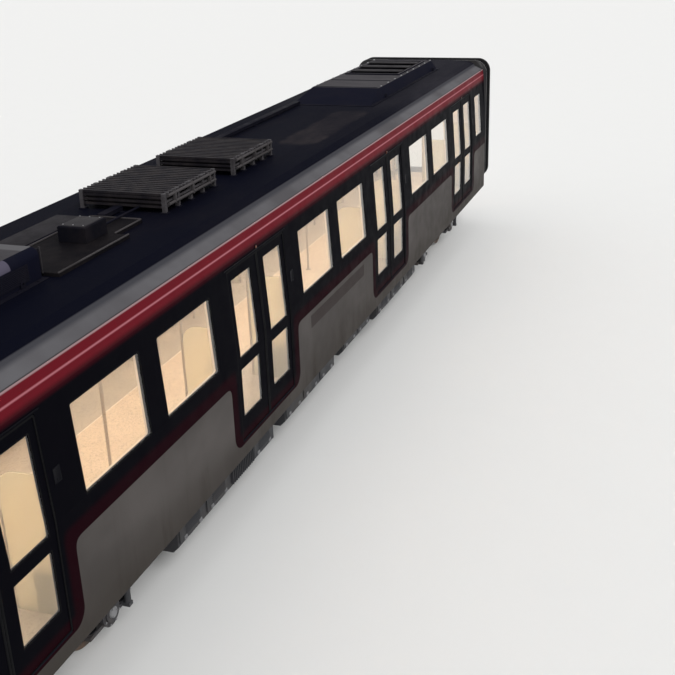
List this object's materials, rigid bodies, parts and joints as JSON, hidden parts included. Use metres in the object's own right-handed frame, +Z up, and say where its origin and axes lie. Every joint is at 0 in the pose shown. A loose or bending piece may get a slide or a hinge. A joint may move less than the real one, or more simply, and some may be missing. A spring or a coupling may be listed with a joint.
{
  "type": "metro car",
  "caption": "Intermediate rail car of a metro train with plug doors, open gangways, roof equipment, bogies that swivel and wheelsets that turn",
  "frame": {"origin": "middle of the car at the lowest point of the wheel flanges", "axes": "+X along the car towards its front end, +Y across the car towards its far side, +Z up"},
  "size_m": [20.4, 2.9, 3.88],
  "materials": {
    "side_paint": "satin light grey paint",
    "red_paint": "gloss dark red paint",
    "roof_paint": "matt light grey paint, dark over the top",
    "door_paint": "satin black paint",
    "glass": "clear toughened glass",
    "screen_glass": "clear toughened glass",
    "lining": "smooth off-white moulding",
    "floor_covering": "speckled grey sheet",
    "light_diffuser": "frosted white diffuser",
    "seat_plastic": "moulded light grey",
    "polished_steel": "brushed stainless tube",
    "bellows_rubber": "black coated cloth",
    "rubber": "matt black rubber",
    "chassis": "matt dark grey paint",
    "bogie_paint": "dusty dark grey paint",
    "equipment_paint": "satin mid grey paint",
    "roof_equipment": "dusty dark grey paint",
    "tank_paint": "satin dark grey paint",
    "cast_housing": "painted casting",
    "axle_steel": "dull oiled steel",
    "wheel_steel": "rolled steel, bright on the tread"
  },
  "bodies": {
    "body": {"underframe": "chassis", "centre_pivots": "chassis", "drawbar_pockets": "chassis", "floor_panel": "floor_covering", "side_wall_near": "side_paint", "side_wall_far": "side_paint", "cantrails": "red_paint", "roof_shell": "roof_paint", "end_wall_front": "side_paint", "end_wall_rear": "side_paint", "gangway_bellows_front": "bellows_rubber", "gangway_bellows_rear": "bellows_rubber", "gangway_tunnel_front": "lining", "gangway_tunnel_rear": "lining", "door_leaves_near": "door_paint", "door_leaves_far": "door_paint", "door_glass": "glass", "window_glass": "glass", "ceiling": "lining", "light_strips": "light_diffuser", "seats_near": "seat_plastic", "seats_far": "seat_plastic", "draught_screens": "screen_glass", "grab_rails": "polished_steel", "air_conditioners": "roof_equipment", "resistor_racks": "roof_equipment", "roof_junction_box": "roof_equipment", "traction_inverter": "equipment_paint", "auxiliary_converter": "equipment_paint", "battery_box": "equipment_paint", "brake_control_box": "equipment_paint", "compressor_box": "equipment_paint", "air_reservoirs": "tank_paint"},
    "bogie_front": {"bogie_frame_front": "bogie_paint", "suspension_springs_front": "rubber", "axle_boxes_front": "bogie_paint", "drive_units_front": "cast_housing", "brake_units_front": "cast_housing", "dampers_front": "tank_paint"},
    "wheelset_1": {"axle_1": "axle_steel", "wheels_1": "wheel_steel"},
    "wheelset_2": {"axle_2": "axle_steel", "wheels_2": "wheel_steel"},
    "drawbar_front": {"drawbar_front": "chassis"},
    "bogie_rear": {"bogie_frame_rear": "bogie_paint", "suspension_springs_rear": "rubber", "axle_boxes_rear": "bogie_paint", "drive_units_rear": "cast_housing", "brake_units_rear": "cast_housing", "dampers_rear": "tank_paint"},
    "wheelset_3": {"axle_3": "axle_steel", "wheels_3": "wheel_steel"},
    "wheelset_4": {"axle_4": "axle_steel", "wheels_4": "wheel_steel"},
    "drawbar_rear": {"drawbar_rear": "chassis"}
  },
  "joints": [
    {"name": "bogie_front_swivel", "type": "hinge", "parent": "body", "child": "bogie_front", "pos_m": [6.9, 0, 0.72], "axis": [0, 0, 1], "range_deg": [-4, 4]},
    {"name": "wheelset_1_spin", "type": "hinge", "parent": "bogie_front", "child": "wheelset_1", "pos_m": [8, 0, 0.458], "axis": [0, 1, 0], "continuous": true},
    {"name": "wheelset_2_spin", "type": "hinge", "parent": "bogie_front", "child": "wheelset_2", "pos_m": [5.8, 0, 0.458], "axis": [0, 1, 0], "continuous": true},
    {"name": "drawbar_front_swing", "type": "hinge", "parent": "body", "child": "drawbar_front", "pos_m": [9.05, 0, 0.748], "axis": [0, 0, 1], "range_deg": [-8, 8]},
    {"name": "bogie_rear_swivel", "type": "hinge", "parent": "body", "child": "bogie_rear", "pos_m": [-6.9, 0, 0.72], "axis": [0, 0, 1], "range_deg": [-4, 4]},
    {"name": "wheelset_3_spin", "type": "hinge", "parent": "bogie_rear", "child": "wheelset_3", "pos_m": [-5.8, 0, 0.458], "axis": [0, 1, 0], "continuous": true},
    {"name": "wheelset_4_spin", "type": "hinge", "parent": "bogie_rear", "child": "wheelset_4", "pos_m": [-8, 0, 0.458], "axis": [0, 1, 0], "continuous": true},
    {"name": "drawbar_rear_swing", "type": "hinge", "parent": "body", "child": "drawbar_rear", "pos_m": [-9.05, 0, 0.748], "axis": [0, 0, 1], "range_deg": [-8, 8]}
  ]
}
